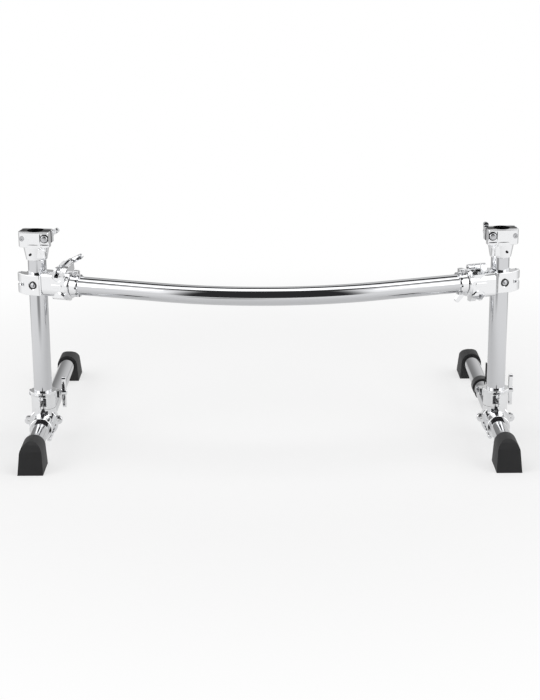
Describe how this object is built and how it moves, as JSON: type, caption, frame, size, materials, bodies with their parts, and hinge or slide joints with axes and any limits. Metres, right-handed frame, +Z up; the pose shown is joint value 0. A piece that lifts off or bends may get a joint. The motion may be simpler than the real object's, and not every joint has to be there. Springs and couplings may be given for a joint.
{
  "type": "drum rack frame",
  "caption": "Low curved drum rack: a bowed chrome tube clamped between two uprights, each on a T-leg with rubber feet and topped by a swivelling two-jaw post clamp.",
  "frame": {"origin": "on the floor, at the middle of the bounding box of the four feet and clamps", "axes": "+Z up, +X to the right of someone in front of the rack, +Y from the bowed bar towards the long rear legs"},
  "size_m": [1.0396, 0.704, 0.4574],
  "materials": {
    "chrome_tube": "mirror polished",
    "chrome_casting": "polished over a slightly soft cast surface",
    "steel_hardware": "plated, slightly satin",
    "rubber": "matt moulded",
    "black_plastic": "satin moulded"
  },
  "bodies": {
    "bar_and_t_clamps": {"curved_bar": "chrome_tube", "left_t_clamp_body": "chrome_casting", "left_t_clamp_bar_jaw": "chrome_casting", "left_t_clamp_bar_hinge_pin": "steel_hardware", "left_t_clamp_collar_jaw": "chrome_casting", "left_t_clamp_collar_pin": "steel_hardware", "left_memory_lock": "chrome_casting", "right_t_clamp_body": "chrome_casting", "right_t_clamp_bar_jaw": "chrome_casting", "right_t_clamp_bar_hinge_pin": "steel_hardware", "right_t_clamp_collar_jaw": "chrome_casting", "right_t_clamp_collar_pin": "steel_hardware", "right_memory_lock": "chrome_casting"},
    "left_upright": {"left_upright_tube": "chrome_tube"},
    "left_t_leg": {"left_leg_tube": "chrome_tube", "left_front_foot": "rubber", "left_rear_foot": "rubber", "left_leg_clamp_body": "chrome_casting", "left_leg_clamp_jaw": "chrome_casting", "left_leg_clamp_hinge_pin": "steel_hardware", "left_leg_clamp_bolt": "steel_hardware"},
    "left_leg_nut": {"left_leg_clamp_wing_nut": "chrome_casting"},
    "left_accessory_clamp": {"left_accessory_clamp_body": "chrome_casting", "left_accessory_clamp_front_liner": "black_plastic", "left_accessory_clamp_bolt": "steel_hardware", "left_accessory_clamp_fulcrum_screw": "steel_hardware"},
    "left_accessory_jaw": {"left_accessory_clamp_jaw": "chrome_casting", "left_accessory_clamp_rear_liner": "black_plastic"},
    "left_accessory_nut": {"left_accessory_clamp_wing_nut": "chrome_casting"},
    "left_swing_bolt": {"left_t_clamp_swing_bolt": "steel_hardware"},
    "left_swing_nut": {"left_t_clamp_wing_nut": "chrome_casting"},
    "left_key_screw": {"left_t_clamp_key_screw": "steel_hardware"},
    "left_lock_screw": {"left_memory_lock_screw": "steel_hardware"},
    "right_upright": {"right_upright_tube": "chrome_tube"},
    "right_t_leg": {"right_leg_tube": "chrome_tube", "right_front_foot": "rubber", "right_rear_foot": "rubber", "right_leg_clamp_body": "chrome_casting", "right_leg_clamp_jaw": "chrome_casting", "right_leg_clamp_hinge_pin": "steel_hardware", "right_leg_clamp_bolt": "steel_hardware"},
    "right_leg_nut": {"right_leg_clamp_wing_nut": "chrome_casting"},
    "right_accessory_clamp": {"right_accessory_clamp_body": "chrome_casting", "right_accessory_clamp_front_liner": "black_plastic", "right_accessory_clamp_bolt": "steel_hardware", "right_accessory_clamp_fulcrum_screw": "steel_hardware"},
    "right_accessory_jaw": {"right_accessory_clamp_jaw": "chrome_casting", "right_accessory_clamp_rear_liner": "black_plastic"},
    "right_accessory_nut": {"right_accessory_clamp_wing_nut": "chrome_casting"},
    "right_swing_bolt": {"right_t_clamp_swing_bolt": "steel_hardware"},
    "right_swing_nut": {"right_t_clamp_wing_nut": "chrome_casting"},
    "right_key_screw": {"right_t_clamp_key_screw": "steel_hardware"},
    "right_lock_screw": {"right_memory_lock_screw": "steel_hardware"},
    "right_key_clip": {"right_key_clip": "black_plastic"}
  },
  "joints": [
    {"name": "left_upright_slide", "type": "slide", "parent": "bar_and_t_clamps", "child": "left_upright", "axis": [0, 0, 1], "range_m": [-0.02, 0.12]},
    {"name": "left_leg_swivel", "type": "hinge", "parent": "left_upright", "child": "left_t_leg", "pos_m": [-0.478, -0.123, 0.08], "axis": [0, 0, 1], "continuous": true},
    {"name": "left_leg_nut_spin", "type": "hinge", "parent": "left_t_leg", "child": "left_leg_nut", "pos_m": [-0.4447, -0.095, 0.093], "axis": [1, 0, 0], "continuous": true},
    {"name": "left_accessory_swivel", "type": "hinge", "parent": "left_upright", "child": "left_accessory_clamp", "pos_m": [-0.478, -0.123, 0.405], "axis": [0, 0, 1], "continuous": true},
    {"name": "left_accessory_jaw_slide", "type": "slide", "parent": "left_accessory_clamp", "child": "left_accessory_jaw", "axis": [0.1392, 0.9903, 0], "range_m": [0, 0.005]},
    {"name": "left_accessory_nut_spin", "type": "hinge", "parent": "left_accessory_jaw", "child": "left_accessory_nut", "pos_m": [-0.45186, -0.10516, 0.4375], "axis": [0.1392, 0.9903, 0], "range_deg": [0, 1440]},
    {"name": "left_swing_bolt_pivot", "type": "hinge", "parent": "bar_and_t_clamps", "child": "left_swing_bolt", "pos_m": [-0.42828, -0.15334, 0.369], "axis": [0.9426, -0.3338, 0], "range_deg": [0, 45]},
    {"name": "left_swing_nut_spin", "type": "hinge", "parent": "left_swing_bolt", "child": "left_swing_nut", "pos_m": [-0.41374, -0.11231, 0.37825], "axis": [0.3265, 0.922, 0.2079], "continuous": true},
    {"name": "left_key_screw_spin", "type": "hinge", "parent": "bar_and_t_clamps", "child": "left_key_screw", "pos_m": [-0.48452, -0.1504, 0.341], "axis": [0.3338, 0.9426, 0], "continuous": true},
    {"name": "left_lock_screw_spin", "type": "hinge", "parent": "bar_and_t_clamps", "child": "left_lock_screw", "pos_m": [-0.39701, -0.16017, 0.3674], "axis": [0.3338, 0.9426, 0], "continuous": true},
    {"name": "right_upright_slide", "type": "slide", "parent": "bar_and_t_clamps", "child": "right_upright", "axis": [0, 0, 1], "range_m": [-0.02, 0.12]},
    {"name": "right_leg_swivel", "type": "hinge", "parent": "right_upright", "child": "right_t_leg", "pos_m": [0.478, -0.123, 0.08], "axis": [0, 0, 1], "continuous": true},
    {"name": "right_leg_nut_spin", "type": "hinge", "parent": "right_t_leg", "child": "right_leg_nut", "pos_m": [0.5063, -0.095, 0.093], "axis": [1, 0, 0], "continuous": true},
    {"name": "right_accessory_swivel", "type": "hinge", "parent": "right_upright", "child": "right_accessory_clamp", "pos_m": [0.478, -0.123, 0.405], "axis": [0, 0, 1], "continuous": true},
    {"name": "right_accessory_jaw_slide", "type": "slide", "parent": "right_accessory_clamp", "child": "right_accessory_jaw", "axis": [-0.1392, 0.9903, 0], "range_m": [0, 0.005]},
    {"name": "right_accessory_nut_spin", "type": "hinge", "parent": "right_accessory_jaw", "child": "right_accessory_nut", "pos_m": [0.45186, -0.10516, 0.4375], "axis": [-0.1392, 0.9903, 0], "range_deg": [0, 1440]},
    {"name": "right_swing_bolt_pivot", "type": "hinge", "parent": "bar_and_t_clamps", "child": "right_swing_bolt", "pos_m": [0.42828, -0.15334, 0.313], "axis": [-0.9426, -0.3338, 0], "range_deg": [0, 100]},
    {"name": "right_swing_nut_spin", "type": "hinge", "parent": "right_swing_bolt", "child": "right_swing_nut", "pos_m": [0.41346, -0.11149, 0.3161], "axis": [-0.333, 0.9403, 0.0698], "continuous": true},
    {"name": "right_key_screw_spin", "type": "hinge", "parent": "bar_and_t_clamps", "child": "right_key_screw", "pos_m": [0.48452, -0.1504, 0.341], "axis": [-0.3338, 0.9426, 0], "continuous": true},
    {"name": "right_lock_screw_spin", "type": "hinge", "parent": "bar_and_t_clamps", "child": "right_lock_screw", "pos_m": [0.39701, -0.16017, 0.3674], "axis": [-0.3338, 0.9426, 0], "continuous": true},
    {"name": "right_key_clip_slide", "type": "slide", "parent": "right_t_leg", "child": "right_key_clip", "axis": [0, 1, 0], "range_m": [-0.11, 0.14]}
  ],
  "couplings": [
    {"joint": "left_accessory_nut_spin", "follows": "left_accessory_jaw_slide", "rad_per_m": 5026.5},
    {"joint": "right_accessory_nut_spin", "follows": "right_accessory_jaw_slide", "rad_per_m": 5026.5}
  ]
}
